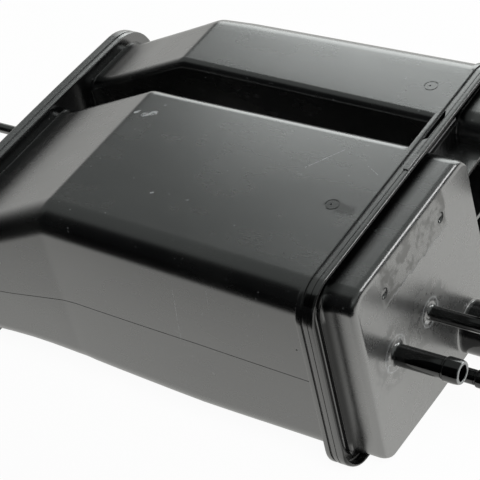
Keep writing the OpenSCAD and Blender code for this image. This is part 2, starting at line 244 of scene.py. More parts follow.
def softRidge(chamber, x):  # eases the crease where the ramp starts
    reach = body["ridgeReach"]
    if abs(x - ridgeX) >= reach:
        return outlineAt(chamber, x)
    t = (x - (ridgeX - reach)) / (2 * reach)
    low, middle, high = [outlineAt(chamber, ridgeX + d) for d in (-reach, 0, reach)]
    return tuple((1 - t) ** 2 * a + 2 * t * (1 - t) * m + t * t * b for a, m, b in zip(low, middle, high))


def along(table, x):  # straight steps between points that run down in x
    for (x0, v0), (x1, v1) in zip(table, table[1:]):
        if x >= x1:
            return v0 + (v1 - v0) * share(x, x0, x1)
    return table[-1][1]


def drafted(chamber, ring):  # the front leans below the parting line, the vent's back wall along the ramp
    station = ring[0][0]
    if chamber is ventChamber:
        lean = along(body["ventLean"], station)
        return [(x, y - lean * eased(y, *body["ventLeanDepths"]), z) for x, y, z in ring]
    lean, rise = along(body["lowFront"], station), along(body["lowRise"], station)
    leaned = []
    for x, y, z in ring:
        forward = lean * eased(z, *body["lowFrontHeights"]) * eased(y, *body["lowFrontDepths"])
        leaned.append((x, y + forward, z + rise * eased(z, *body["lowRiseHeights"])))
    return leaned


def crownAt(chamber, x):  # the walls swell a little between the weld and the ridge
    swell = math.sin(math.pi * share(x, 0, ridgeX)) if x > ridgeX else 0
    return body["crown"] * swell * ((chamber[0][1] - chamber[0][0]) / body["mainWidth"]) ** 2


def outerRing(chamber, x, outline, rise):
    if chamber is mainChamber:
        outline = grow(outline, 0, -body["mainTrim"], 0, 0)
        radii = body["mainRadii"]
    else:
        outline = grow(outline, body["ventGrow"], 0, 0, 0)
        radii = body["ventRadii"]
    return roundedRing(x, outline, tuple(r + rise for r in radii), crown=crownAt(chamber, x))


def chamberSkin(name, chamber, wall):  # the outside where wall is 0, else the space within
    rises = {} if wall else {footX + reach: rise for reach, rise in body["footBead"]}
    levelSteps, rampSteps = body["levelSteps"], body["rampSteps"]
    stations = list(body["spaceStart"] if wall else body["skinStart"])
    stations += [ridgeX * k / levelSteps for k in range(1, levelSteps)]
    stations += [ridgeX + d for d in body["ridgeSteps"]]
    stations += [ridgeX - body["rampLength"] * k / rampSteps for k in range(1, rampSteps - 1)]
    stations += list(rises) + [footX if wall else footX - sink]
    rings = []
    for x in stations:
        rise = rises.get(x, 0)
        outline = inset(softRidge(chamber, min(x, 0)) if x > footX else chamber[2], wall - rise)
        if wall:
            ring = roundedRing(x, outline, body["edgeRadius"] - wall)
        else:
            ring = outerRing(chamber, x, outline, rise)
        rings.append(drafted(chamber, ring))
    return skin(name, rings)


def flangePlate(name, outline, radius, layers, fall=None):  # layers are x and inset
    def lowered(x, y, z):  # the upper edge sinks from front to back
        drop = fall["front"] + fall["more"] * (y / fall["span"]) ** 3
        return (x, y, z - drop * eased(z, *fall["heights"]))

    rings = [roundedRing(x, inset(outline, d), radius - d) for x, d in layers]
    if fall:
        rings = [[lowered(*point) for point in ring] for ring in rings]
    return skin(name, rings)


def partingGroove():
    half, proud = body["partingWidth"] / 2, body["partingProud"]
    rings = []
    for x, z in body["partingLine"]:
        y = outlineAt(mainChamber, x)[0]
        bottom = y - crownAt(mainChamber, x) + body["partingDepth"]
        rings.append([(x, y - proud, z - half), (x, bottom, z - half),
                      (x, bottom, z + half), (x, y - proud, z + half)])
    return skin("groove", rings)


def gateTool(x, y):  # a fine ring with a pit in its middle
    r, flare = gate["radius"], gate["flare"]
    crest = topZ + crownAt(mainChamber if y < ventFront else ventChamber, x)
    bottom, inner = crest - gate["depth"], r - gate["width"]
    ring = upright("gateRing", x, y, ((bottom, r - flare), (bottom, r), (crest + clear, r + flare)))
    core = upright("core", x, y, ((crest - sink, inner), (crest + clear + sink, inner)))
    carve(ring, "DIFFERENCE", [core])
    return [ring, upright("gatePit", x - gate["pitOffset"], y, layersAt(crest, 0, gate["pit"]))]


def rearOpening(chamber):
    outline = inset(chamber[2], body["wall"] + body["ledge"])
    ends = (footX + body["ledgeStart"], rearSeamX - sink)
    rings = [roundedRing(x, outline, body["ledgeRadius"]) for x in ends]
    return skin("rearOpening", [drafted(chamber, ring) for ring in rings])


portLayers = layersAt(-portFlange["thickness"], 0, portFlange["outerEdge"])
portLayers += layersAt(-seam["gap"], 0, portFlange["seamEdge"], -1)
portLayers += [(-seam["gap"], seam["depth"]), (0, seam["depth"])]
rearLayers = layersAt(footX, 0, rearFlange["outerEdge"], -1)
rearLayers += layersAt(rearSeamX + seam["gap"], 0, rearFlange["seamEdge"])
rearLayers += [(rearSeamX + seam["gap"], seam["depth"]), (rearSeamX, seam["depth"])]

canisterBody = chamberSkin("canisterBody", mainChamber, 0)
carve(canisterBody, "UNION", [
    chamberSkin("ventSide", ventChamber, 0),
    flangePlate("portPlate", rimOutline, portFlange["cornerRadius"], portLayers),
    flangePlate("rearPlate", rearOutline, rearFlange["cornerRadius"], rearLayers, rearFlange["fall"]),
])
carve(canisterBody, "DIFFERENCE", [
    chamberSkin("mainSpace", mainChamber, body["wall"]),
    chamberSkin("ventSpace", ventChamber, body["wall"]),
    partingGroove(),
])
for gateMark in gate["marks"]:
    carve(canisterBody, "DIFFERENCE", gateTool(*gateMark))
carve(canisterBody, "DIFFERENCE", [rearOpening(mainChamber), rearOpening(ventChamber)])
smoothOff(canisterBody)
print("body skinned with", len(canisterBody.data.polygons), "faces")

# port cap with its spigots

cap = {
    "rimDepth": 5.5, "lipRadius": 1.3, "lipWidth": 1.6, "grooveWidth": 4.4, "grooveDepth": 2.3, "plate": 4.6,
    "seamEdge": ((0, 0.35), (0.15, 0.1), (0.5, 0)),
    "rimLine": ((2.6, 0), (2.7, 0.22), (2.95, 0.22), (3.05, 0)),
    "lipInside": ((-0.08, -0.12), (-0.3, 0)), "lipDrop": 2.2, "lipDropFrom": 3.2, "lipDropHeights": (20, 2),
    "grooveFront": ((0.4, 0.12), (0, 0.5)), "grooveBack": ((0, -0.5), (0.35, -0.12)),
    "beadRise": 0.55, "bead": ((-0.25, 0), (-0.06, 0.08), (0, 0.22), (-0.06, 0.36)),
    "beadFoot": ((0.1, 0.5), (0, 0.6)), "frontFillet": 3.0, "frontRun": 5.5, "fillet": 0.25,
    "domeLength": 19.3, "domeFront": 9.6, "domeReach": 3.0, "domeTop": 4.2, "domeBottom": 3.5,
    "domeBack": 8.5, "ventBottom": 1.5, "domeRadius": 9.0, "domeEdge": 3.5, "mainEdges": (1, 0.35, 0.3, 1),
    "domeSteps": 10, "plenumEdge": 0.8,
    "footFall": 3.2, "footFallDepths": (12, 62), "footFallHeights": (40, 4),
    "slotLean": 3.16, "slotLeanHeights": (85, 45), "slotLeanDepths": (50, 100),
    "slotRecess": ((0.0, 102.3), (2.3, 104.2), (2.5, 119.6), (0.7, 124.4)),
    "tab": {"x": (2.2, 4.4), "y": (82.6, 93.4), "rise": 0.45, "edge": 0.15},
    "ribCount": 4, "ribThickness": 2.0, "ribPitch": 26.0, "ribFirst": 11.8, "ribShort": 0.8, "ribSink": 1.5,
    "ribRadius": 0.35, "ribEdge": ((-0.3, 0), (-0.08, 0.09), (0, 0.3)),
    "dimples": ((29.9, 84.6), (78.5, 84.9)), "dimpleRadius": 2.5, "dimpleDepth": 1.6, "dimpleFlare": 0.2,
}
spigots = {
    "purge": {"y": 29.7, "z": 51.0, "radius": 4.7, "length": 31.0},
    "upperVapour": {"y": 59.3, "z": 48.0, "radius": 3.3, "length": 34.0},
    "lowerVapour": {"y": 47.0, "z": 30.0, "radius": 3.3, "length": 34.0},
    "tank": {"y": 88.6, "z": 13.4, "radius": 12.0, "length": 30.0, "root": 1.0},
    "vent": {"y": 141.45, "z": 55.0, "radius": 9.0, "length": 24.0},
}
spigotShape = {
    "wall": 1.2, "root": 2.0, "rootSink": 2.0, "barrelRise": 0.7, "barrelLength": 7.5, "endEdge": 0.1,
    "neck": ((-1.2, 0), (-0.9, 0), (-0.8, -0.3), (-0.1, -0.3)),
    "barrelStart": ((0, 0.4), (0.25, 0.8), (0.8, 1)),  # runs along x and shares of the rise
    "barrelEnd": ((-2.4, 0.95), (-1.2, 0.75), (-0.5, 0.5), (-0.12, 0.2)),
    "boreDepth": 4.0, "mouth": ((-0.4, 0), (-0.1, 0.12), (0.4, 0.6)),
}

domeTop = topZ - cap["domeTop"]
mainDome = (rimOutline[0] + cap["domeFront"], body["mainWidth"] + cap["domeReach"],
            cap["domeBottom"], domeTop)
ventDome = (ventFront + body["slotDraft"], rimOutline[1] - cap["domeBack"], cap["ventBottom"], domeTop)


def rimBlock():
    depth, soft, lip, plate = cap["rimDepth"], cap["lipRadius"], cap["lipWidth"], cap["plate"]
    bottom, bead, crest = depth - cap["grooveDepth"], lip + cap["grooveWidth"], plate + cap["beadRise"]
    layers = [(0, seam["depth"]), (seam["gap"], seam["depth"])]
    layers += layersAt(seam["gap"], 0, cap["seamEdge"]) + list(cap["rimLine"])
    layers += [(depth - soft + soft * s, soft * (1 - c)) for s, c in quarterTurn(7)]
    layers += layersAt(depth, lip, cap["lipInside"]) + layersAt(bottom, lip, cap["grooveFront"])
    layers += layersAt(bottom, bead, cap["grooveBack"]) + layersAt(crest, bead, cap["bead"])
    layers += layersAt(plate, bead, cap["beadFoot"])
    rings = []
    for x, d in layers:  # the lip stands taller along the bottom edge
        taller = cap["lipDrop"] * share(x, cap["lipDropFrom"], depth) if d <= lip else 0
        ring = roundedRing(x, inset(rimOutline, d), portFlange["cornerRadius"] - d)
        rings.append([(px + taller * eased(pz, *cap["lipDropHeights"]), py, pz) for px, py, pz in ring])
    return skin("portCap", rings)


def hang(ring):  # the main dome's foot falls towards the slot, and its slot side leans out
    hung = []
    for x, y, z in ring:
        lean = cap["slotLean"] * share(z, *cap["slotLeanHeights"]) * eased(y, *cap["slotLeanDepths"])
        fall = cap["footFall"] * share(y, *cap["footFallDepths"]) * eased(z, *cap["footFallHeights"])
        hung.append((x, y + lean, z - fall))
    return hung


def domeRings(outline, frontFillet, edges=(1, 1, 1, 1)):  # edges are shares for front, back, bottom and top
    edge, radius, steps = cap["domeEdge"], cap["domeRadius"], cap["domeSteps"]
    plate, small, start = cap["plate"], cap["fillet"], cap["domeLength"] - cap["domeEdge"]
    run = cap["frontRun"] if frontFillet > small else small
    foot = grow(outline, frontFillet, small, small, small)
    rings = [roundedRing(plate - sink, foot, radius + small, steps)]
    for s, c in quarterTurn(7):  # hollow fillet at the root
        flare = small * (1 - s)
        flared = grow(outline, frontFillet * (1 - s), flare, flare, flare)
        rings.append(roundedRing(plate + run * (1 - c), flared, radius + flare, steps))
    for s, c in quarterTurn(9):  # round edge of the end face
        d = edge * (1 - c)
        trimmed = grow(outline, *[-d * k for k in edges])
        rings.append(roundedRing(start + edge * s, trimmed, radius - d, steps))
    return rings


def plenum(name, outline):
    wall, edge = body["wall"], cap["plenumEdge"]
    end = cap["domeLength"] - wall
    layers = ((-sink, 0), (end - edge, 0), (end, edge))
    return flangePlate(name, inset(outline, wall), cap["domeRadius"] - wall, layers)


def rimTab():
    (x0, x1), (y0, y1) = cap["tab"]["x"], cap["tab"]["y"]
    top, edge = topZ + cap["tab"]["rise"], cap["tab"]["edge"]
    rings = [[(x0 + d, y0 + d, z), (x1 - d, y0 + d, z), (x1 - d, y1 - d, z), (x0 + d, y1 - d, z)]
             for z, d in ((topZ - sink, 0), (top - edge, 0), (top, edge))]
    return skin("rimTab", rings)


def rib(z):
    outline = (mainDome[1] - cap["ribSink"], ventDome[0] + cap["ribSink"], z - cap["ribThickness"], z)
    layers = [(cap["plate"] - sink, 0)] + layersAt(cap["domeLength"] - cap["ribShort"], 0, cap["ribEdge"])
    rings = [roundedRing(x, inset(outline, d), cap["ribRadius"] - d, steps=3, sides=2) for x, d in layers]
    return skin("rib", rings)


def spigot(name, shape):
    root, r, rise = cap["domeLength"], shape["radius"], spigotShape["barrelRise"]
    end = root + shape["length"]
    start = end - spigotShape["barrelLength"]
    flare = shape.get("root", spigotShape["root"])
    profile = [(root - spigotShape["rootSink"], r + flare)]
    profile += [(root + flare * (1 - c), r + flare * (1 - s)) for s, c in quarterTurn(7)]
    profile += layersAt(start, r, spigotShape["neck"])
    profile += [(start + run, r + rise * part) for run, part in spigotShape["barrelStart"]]
    profile += [(end + run, r + rise * part) for run, part in spigotShape["barrelEnd"]]
    profile.append((end, r - spigotShape["endEdge"]))
    return turned(name, profile, shape["y"], shape["z"])


def bore(shape):
    r = shape["radius"] - spigotShape["wall"]
    profile = [(cap["domeLength"] - spigotShape["boreDepth"], r)]
    profile += layersAt(cap["domeLength"] + shape["length"], r, spigotShape["mouth"])
    return turned("bore", profile, shape["y"], shape["z"])


def slotLens():  # recess in the cap's plate opposite the slot
    recess = cap["slotRecess"]
    edge = [(-sink, recess[-1][1]), (-sink, recess[0][1])] + list(recess)
    return skin("slotLens", [[(x, y, z) for x, y in edge] for z in (-clear, topZ + clear)])


def dimple(y, z):
    x, r = cap["domeLength"], cap["dimpleRadius"]
    bowl = [(x - cap["dimpleDepth"] * c, r * s + finest) for s, c in quarterTurn(6)]
    return turned("dimple", bowl + [(x + sink, r + cap["dimpleFlare"])], y, z, 28)


portCap = rimBlock()
ribHeights = [domeTop - cap["ribFirst"] - cap["ribPitch"] * k for k in range(cap["ribCount"])]
carve(portCap, "UNION", [
    skin("mainDome", [hang(ring) for ring in domeRings(mainDome, cap["frontFillet"], cap["mainEdges"])]),
    skin("ventDome", domeRings(ventDome, cap["fillet"])),
    rimTab(),
] + [rib(z) for z in ribHeights] + [spigot(name, shape) for name, shape in spigots.items()])
carve(portCap, "DIFFERENCE", [
    plenum("mainPlenum", mainDome),
    plenum("ventPlenum", ventDome),
    slotLens(),
] + [bore(shape) for shape in spigots.values()] + [dimple(*spot) for spot in cap["dimples"]])
smoothOff(portCap)
print("port cap built with", len(portCap.data.polygons), "faces")

# rear cap with its thin spigot

drain = {
    "y": 83.0, "z": 68.0, "length": 26.0, "bore": 1.2, "boreDepth": 6.0,
    "root": ((2, 4.0), (0, 3.9), (-0.5, 3.0), (-1.5, 2.45), (-2.5, 2.4)),  # runs along x and radii
    "tip": ((8, 2.4), (7.5, 2.4), (7.3, 3.0), (7, 3.1), (1.5, 3.1), (0.7, 3.0), (0.2, 2.6), (0, 2.3)),
}
weldX = rearSeamX - seam["gap"]
panX = rearSeamX - rearFlange["capThickness"]
panEnd = panX - rearFlange["panLength"]
drainTip = panEnd - drain["length"]
panOutline = inset(rearOutline, rearFlange["panMargin"])
panRadius = rearFlange["cornerRadius"] - rearFlange["panMargin"]


def panLayers(wall):  # the outside where wall is 0, else the space within
    edge = rearFlange["panEdge"]
    soft = edge - wall
    layers = [(rearSeamX + sink if wall else rearSeamX - sink, wall), (panEnd + edge, wall)]
    return layers + [(panEnd + wall + soft * (1 - s), wall + soft * (1 - c)) for s, c in quarterTurn(8)[1:]]


capLayers = [(rearSeamX, seam["depth"]), (weldX, seam["depth"])]
capLayers += layersAt(weldX, 0, reversed(rearFlange["seamEdge"]), -1)
capLayers += layersAt(panX, 0, rearFlange["capEdge"])
drainProfile = layersAt(panEnd, 0, drain["root"]) + layersAt(drainTip, 0, drain["tip"])
drainBore = ((panEnd + drain["boreDepth"], drain["bore"]), (drainTip - sink, drain["bore"]))

rearCap = flangePlate("rearCap", rearOutline, rearFlange["cornerRadius"], capLayers, rearFlange["fall"])
carve(rearCap, "UNION", [
    flangePlate("pan", panOutline, panRadius, panLayers(0)),
    turned("drain", drainProfile, drain["y"], drain["z"], 36),
])
carve(rearCap, "DIFFERENCE", [
    flangePlate("plenum", panOutline, panRadius, panLayers(body["wall"])),
    turned("drainBore", drainBore, drain["y"], drain["z"], 28),
])
smoothOff(rearCap)
print("rear cap built with", len(rearCap.data.polygons), "faces")

# materials


class Signal:
    def __init__(self, tree, socket=None):
        self.tree = tree
        self.socket = socket

    def feed(self, socket, value):
        if isinstance(value, Signal):
            self.tree.links.new(value.socket, socket)
        else:
            socket.default_value = value

    def node(self, kind, settings=None, sockets=None, out=0):
        made = self.tree.nodes.new(kind)
        for key, value in (settings or {}).items():
            setattr(made, key, value)
        for key, value in (sockets or {}).items():
            self.feed(made.inputs[key], value)
        return Signal(self.tree, made.outputs[out])

    def maths(self, operation, *others):
        return self.node("ShaderNodeMath", {"operation": operation}, dict(enumerate((self,) + others)))

    def __add__(self, other):
        return self.maths("ADD", other)

    def __sub__(self, other):
        return self.maths("SUBTRACT", other)

    def __rsub__(self, other):
        return self * -1 + other

    def __mul__(self, other):
        return self.maths("MULTIPLY", other)

    def __truediv__(self, other):
        return self.maths("DIVIDE", other)

    def __rtruediv__(self, other):
        return self.maths("POWER", -1) * other

    __radd__ = __add__
    __rmul__ = __mul__

    def between(self, low, high):  # 0 at low, 1 at high, eased
        return self.node("ShaderNodeMapRange", {"interpolation_type": "SMOOTHSTEP"},
                         {"Value": self, "From Min": low, "From Max": high})

    def fading(self, low, high):  # 1 at low, 0 at high, eased
        return 1 - self.between(low, high)

    def axis(self, k):
        return self.node("ShaderNodeSeparateXYZ", None, {0: self}, k)

    def noise(self, scale, detail=3.0, rough=0.55, stretch=(1, 1, 1)):
        spread = self.node("ShaderNodeMapping", None, {"Vector": self, "Scale": stretch})
        return self.node("ShaderNodeTexNoise", None,
                         {"Vector": spread, "Scale": scale, "Detail": detail, "Roughness": rough})

    def mixColour(self, first, second):
        return self.node("ShaderNodeMix", {"data_type": "RGBA"}, {0: self, 6: first, 7: second}, 2)


def newFinish(name):
    material = bpy.data.materials.new(name)
    material.use_nodes = True
    tree = material.node_tree
    shader = tree.nodes["Principled BSDF"]
    return material, shader, Signal(tree)


def objectSpot(signal):
    return signal.node("ShaderNodeTexCoord", out=3)


def facing(signal, k):  # how far the surface faces along an axis
    return signal.node("ShaderNodeNewGeometry", out=1).axis(k)


def away(u, v, start, end=None):  # distance of a point to a line or a spot
    du, dv = u - start[0], v - start[1]
    if end:
        span = (end[0] - start[0], end[1] - start[1])
        foot = (du * span[0] + dv * span[1]) / (span[0] ** 2 + span[1] ** 2)
        foot = foot.node("ShaderNodeClamp", None, {"Value": foot})
        du, dv = du - foot * span[0], dv - foot * span[1]
    return (du * du + dv * dv).maths("SQRT")


def either(*masks):
    total = masks[0]
    for mask in masks[1:]:
        total = total.maths("MAXIMUM", mask)
    return total


nylon = {
    # the pale scuff colour also paints the highlight at the spigot tips, and the darker worn tone also paints
    # dark reflection in the smears round two spigots
    "black": (0.0016, 0.0017, 0.0018, 1), "wearAndPaintedLight": (0.007, 0.007, 0.0067, 1), "scuffAndHighlight": (0.36, 0.37, 0.38, 1),
    "dust": (0.085, 0.085, 0.084, 1), "film": (0.03, 0.029, 0.026, 1), "edgeGrey": (0.045, 0.047, 0.047, 1),
    "ior": 2.3, "capIor": 3.0, "roughness": 0.27, "bumpStrength": 0.12, "bumpDepth": 0.0004,
    # scale, detail and roughness of each noise
    "cloud": (26, 4, 0.6), "streaks": (60, 3, 0.6, (0.35, 1.6, 1.6)), "grain": (900, 2, 0.5),
    "ragged": (240, 4, 0.65), "specks": (420, 2, 0.5),
    "specked": (0.70, 0.78), "cloudy": (0.40, 0.72), "streaked": (0.45, 0.75),
    "speckShare": 0.2, "cloudHaze": 0.5, "streakHaze": 0.3, "cloudRough": 0.08, "streakRough": 0.06,
    "grainRise": 0.25, "cloudRise": 0.4,
}


def nylonBase(name):  # plain black nylon, with the signals that the marks are made from
    material, shader, signal = newFinish(name)
    spot = objectSpot(signal)
    cloud, streaks, grain = [spot.noise(*nylon[key]) for key in ("cloud", "streaks", "grain")]
    haze = cloud.between(*nylon["cloudy"]) * nylon["cloudHaze"]
    haze = haze + streaks.between(*nylon["streaked"]) * nylon["streakHaze"]
    specks = spot.noise(*nylon["specks"]).between(*nylon["specked"]) * nylon["speckShare"]
    rough = nylon["roughness"] + (cloud - 0.5) * nylon["cloudRough"] + (streaks - 0.5) * nylon["streakRough"]
    return {
        "material": material, "shader": shader, "signal": signal, "spot": spot,
        "place": [spot.axis(k) * 1000 + origin[k] for k in range(3)],  # in mm, as the shapes are
        "cloud": cloud, "grain": grain, "ragged": spot.noise(*nylon["ragged"]),
        "colour": specks.mixColour(haze.mixColour(nylon["black"], nylon["wearAndPaintedLight"]), nylon["scuffAndHighlight"]),
        "rough": rough, "height": grain * nylon["grainRise"] + cloud * nylon["cloudRise"],
    }


def nylonDone(finish, ior):
    signal, inputs = finish["signal"], finish["shader"].inputs
    signal.feed(inputs["Base Color"], finish["colour"])
    signal.feed(inputs["Roughness"], finish["rough"])
    if "dull" in finish:  # a metallic share over the dark base takes the reflections down, for dull marks and for painted shade
        signal.feed(inputs["Metallic"], finish["dull"])
    inputs["IOR"].default_value = ior
    relief = {"Strength": nylon["bumpStrength"], "Distance": nylon["bumpDepth"], "Height": finish["height"]}
    signal.feed(inputs["Normal"], signal.node("ShaderNodeBump", None, relief))
    return finish["material"]


bodyMarks = {
    "onTop": (100.5, 102), "inFront": (4.5, 7), "core": 0.4, "grit": (900, 3, 0.6), "gritty": (0.38, 0.55),
    # ends of each line and its width
    "scratches": (((-38, 69.9), (-27.7, 86), 0.15), ((-13.7, 80.2), (-6.1, 75.9), 0.12),
                  ((-93.4, 33.4), (-92.6, 34), 0.5)),
    "scuffs": (((-133.0, 79.0), (-131.6, 80.4), 0.9), ((-128.0, 78.8), (-123.6, 81.6), 1.7)),
    "sideScratches": (((-66.4, 83.4), (-69.2, 53.9), 0.16), ((-48, 88.8), (-48.7, 77.3), 0.14)),
    "wornColour": 0.85, "wornRough": 0.2,
    "stain": ((-15, 52.6), (-6.5, 51.6)), "stainEdge": (2.2, 4), "stainRagged": 9, "stainDull": 0.32,
    "fleck": (-7.0, 71.2), "fleckEdge": (0.35, 0.55), "fleckRough": 0.5, "fleckDepth": 6,
    # painted shade: the upward faces at the foot of the ramps, by the rear flange, take a metallic share that
    # darkens their reflections
    "footStart": (4.4, 5.2), "footEnd": (9, 34), "footUpward": (0.45, 0.75), "footShadeShare": 0.9,
}


def markBody(finish):  # scratches, scuffs, a stain by the gate mark, a fleck, and painted shade on the foot of the ramps
    marks, (x, y, z) = bodyMarks, finish["place"]
    onTop, inFront = z.between(*marks["onTop"]), y.fading(*marks["inFront"])

    def line(u, v, start, end, width):
        return away(u, v, start, end).fading(width * marks["core"], width)

    lines = [line(x, y, *ends) * onTop for ends in marks["scratches"] + marks["scuffs"]]
    lines += [line(x, z, *ends) * inFront for ends in marks["sideScratches"]]
    wearAndPaintedLight = either(*lines) * finish["spot"].noise(*marks["grit"]).between(*marks["gritty"])
    toStain = away(x, y, *marks["stain"]) + (finish["ragged"] - 0.5) * marks["stainRagged"]
    stain = toStain.fading(*marks["stainEdge"]) * onTop
    fleck = away(x, z, marks["fleck"]).fading(*marks["fleckEdge"]) * inFront
    fromFoot = x - footX
    # painted shade: a metallic share darkens the upward faces at the foot of the ramps
    foot = fromFoot.between(*marks["footStart"]) * fromFoot.fading(*marks["footEnd"])
    foot = foot * facing(finish["signal"], 2).between(*marks["footUpward"])
    finish["colour"] = (wearAndPaintedLight * marks["wornColour"]).mixColour(finish["colour"], nylon["scuffAndHighlight"])
    finish["rough"] = finish["rough"] + wearAndPaintedLight * marks["wornRough"] + fleck * marks["fleckRough"]
    finish["height"] = finish["height"] - fleck * marks["fleckDepth"]
    finish["dull"] = either(stain * marks["stainDull"], foot * marks["footShadeShare"])


flangeEdgeGrey = {
    "seamSide": (2.9, 3.1), "panSide": (0.2, 1.2), "upward": (0.35, 0.8),
    "grainy": (0.3, 0.7), "least": 0.5, "grainShare": 0.5,
}


def greyFlangeEdges(finish):  # a grainy grey tone on the upward-facing edges of the rear flange plates
    x = finish["place"][0]
    edgeGrey = (x - rearSeamX).fading(*flangeEdgeGrey["seamSide"]) * (x - panX).between(*flangeEdgeGrey["panSide"])
    edgeGrey = edgeGrey * facing(finish["signal"], 2).between(*flangeEdgeGrey["upward"])
    grainy = finish["grain"].between(*flangeEdgeGrey["grainy"]) * flangeEdgeGrey["grainShare"] + flangeEdgeGrey["least"]
    finish["colour"] = (edgeGrey * grainy).mixColour(finish["colour"], nylon["edgeGrey"])


faceMarks = {
    "faceStart": (18.6, 19.2), "faceEnd": (19.5, 20.2),
    # the tubes take a metallic share as painted shade that darkens their reflections
    "tube": (20.5, 21.5), "tubeRough": 0.15, "tubeShadeShare": 0.72,
    "dustLeast": 0.5, "dustCloud": 0.5, "dustFall": 0.0012, "drift": (90, 3, 0.6), "driftReach": 9,
    "filmLow": 78, "filmEdge": (-0.3, 0.3), "filmFront": (27.5, 30), "filmBack": (82, 84),
    "brim": (0.2, 0.5), "brimColour": 0.3, "brimRough": 0.3,
    "patches": (130, 4, 0.7), "patched": (0.42, 0.56),
    "filmColour": (0.45, 0.55), "filmDull": (0.14, 0.2),  # least and what the patches add
    "filmRough": 0.16, "filmRise": 2.2,
    "marked": ("purge", "upperVapour"), "ringReach": 3.4, "ringWidth": (0.15, 0.5), "ringDrift": 0.12,
    "ringColour": 0.5, "scuffReach": (3.0, 4.6), "scuffDrift": 0.3, "scuffRagged": (0.53, 0.60),
    # the smears round two spigot roots are partly real smear and partly painted dark reflection of the spigots
    "scuffColour": 0.8, "scuffRise": 1.2, "smearAndReflectionReach": (9, 13), "smearAndReflectionRagged": (0.42, 0.55),
    "smearAndReflectionColour": 0.5, "smearRough": 0.12, "smearRise": 0.5,
    # painted highlight: a pale ring at each spigot's tip
    "endRun": (-0.45, -0.2), "endReach": (1.4, 1.8), "tipHighlightColour": 0.6,
    # painted shade: the insides of the dimples are painted black and take a metallic share
    "pitEdge": (-0.5, -0.2), "pitDepth": (15, 16), "pitShadeShare": 0.6,
}


def markFace(finish):  # dust, a patchy film, smears round two spigots that are partly painted dark reflection, a painted highlight at each spigot's tip, black tubes with painted shade, and painted shade in the pits
    marks, (x, y, z), spot = faceMarks, finish["place"], finish["spot"]
    ragged = finish["ragged"]
    face = x.between(*marks["faceStart"]) * x.fading(*marks["faceEnd"])
    tube = x.between(*marks["tube"])
    drift = (spot.noise(*marks["drift"]) - 0.5) * marks["driftReach"]
    patches = spot.noise(*marks["patches"]).between(*marks["patched"])
    above = z + drift - marks["filmLow"]
    filmBand = y.between(*marks["filmFront"]) * (y + drift).fading(*marks["filmBack"]) * face
    film = above.between(*marks["filmEdge"]) * filmBand
    brim = above.maths("ABSOLUTE").fading(*marks["brim"]) * filmBand

    def fromAxis(shape):
        return away(y, z, (shape["y"], shape["z"])) - shape["radius"]

    roots = [fromAxis(spigots[key]) for key in marks["marked"]]
    toRing = [(root + drift * marks["ringDrift"] - marks["ringReach"]).maths("ABSOLUTE") for root in roots]
    rings = either(*[ring.fading(*marks["ringWidth"]) for ring in toRing]) * face
    scuffed = either(*[(root + drift * marks["scuffDrift"]).fading(*marks["scuffReach"]) for root in roots])
    scuffed = scuffed * face * ragged.between(*marks["scuffRagged"])
    # darker patch round the purge and upper vapour roots: partly real smear, partly painted dark reflection of
    # the spigots in the end face
    smearAndReflection = either(*[(root + drift).fading(*marks["smearAndReflectionReach"]) for root in roots])
    smearAndReflection = smearAndReflection * face * ragged.between(*marks["smearAndReflectionRagged"])
    # painted highlight: a pale ring round each spigot's tip stands in for the glint on its lip
    tipHighlights = [(x - (cap["domeLength"] + shape["length"])).between(*marks["endRun"])
                * fromAxis(shape).fading(*marks["endReach"]) for shape in spigots.values()]
    toPits = [away(y, z, pit) - cap["dimpleRadius"] for pit in cap["dimples"]]
    pits = either(*[edge.fading(*marks["pitEdge"]) for edge in toPits])

    def patchy(key):
        least, more = marks[key]
        return film * (least + patches * more)

    dusty = face * (marks["dustLeast"] + finish["cloud"] * marks["dustCloud"] - z * marks["dustFall"])
    pale = either(scuffed * marks["scuffColour"], rings * marks["ringColour"], brim * marks["brimColour"])
    # painted highlight at the spigot tips, in the pale scuff colour
    wearAndPaintedLight = either(*tipHighlights) * marks["tipHighlightColour"]
    # painted shade: the insides of the dimples are painted black
    pitShade = pits * either(face, x.between(*marks["pitDepth"])) * (1 - tube)
    tones = (
        (dusty, "dust"), (patchy("filmColour"), "film"), (smearAndReflection * marks["smearAndReflectionColour"], "wearAndPaintedLight"),
        (pale, "scuffAndHighlight"), (tube, "black"), (wearAndPaintedLight, "scuffAndHighlight"), (pitShade, "black"),
    )
    for mask, tone in tones:
        finish["colour"] = mask.mixColour(finish["colour"], nylon[tone])
    rough = finish["rough"] + smearAndReflection * marks["smearRough"] - tube * marks["tubeRough"]
    finish["rough"] = rough + film * patches * marks["filmRough"] + brim * marks["brimRough"]
    height = finish["height"] + film * marks["filmRise"] + smearAndReflection * marks["smearRise"]
    finish["height"] = height + scuffed * marks["scuffRise"]
    # painted shade: metallic shares on the tubes and in the pits; the film's share is its own dulling
    finish["dull"] = either(tube * marks["tubeShadeShare"], patchy("filmDull"), pits * face * marks["pitShadeShare"])


# painted shade: metallic shares that darken the reflections on the rim, its groove and the dome's sides beside
# it
rimShade = {
    "top": (96.5, 97.5), "rimTop": (100.4, 101.2), "behindRim": (5.5, 17), "behindRimShadeShare": 0.85,
    "topEnd": (17.5, 18.5), "topShadeShare": 0.38,
    "root": (5.2, 5.8), "rootEnd": (5.6, 10.5), "rootFront": (9, 11), "rootShadeShare": 0.85,
    "beadBack": (4.4, 4.7), "beadPlate": (4.2, 4.5), "beadLow": (10, 16), "beadHigh": (84, 90),
    "endward": (0.5, 0.9), "faceEnd": (6.5, 8), "faceShadeShare": 0.7, "rimEnd": (5.8, 6.6), "rimBandShadeShare": 0.4,
}


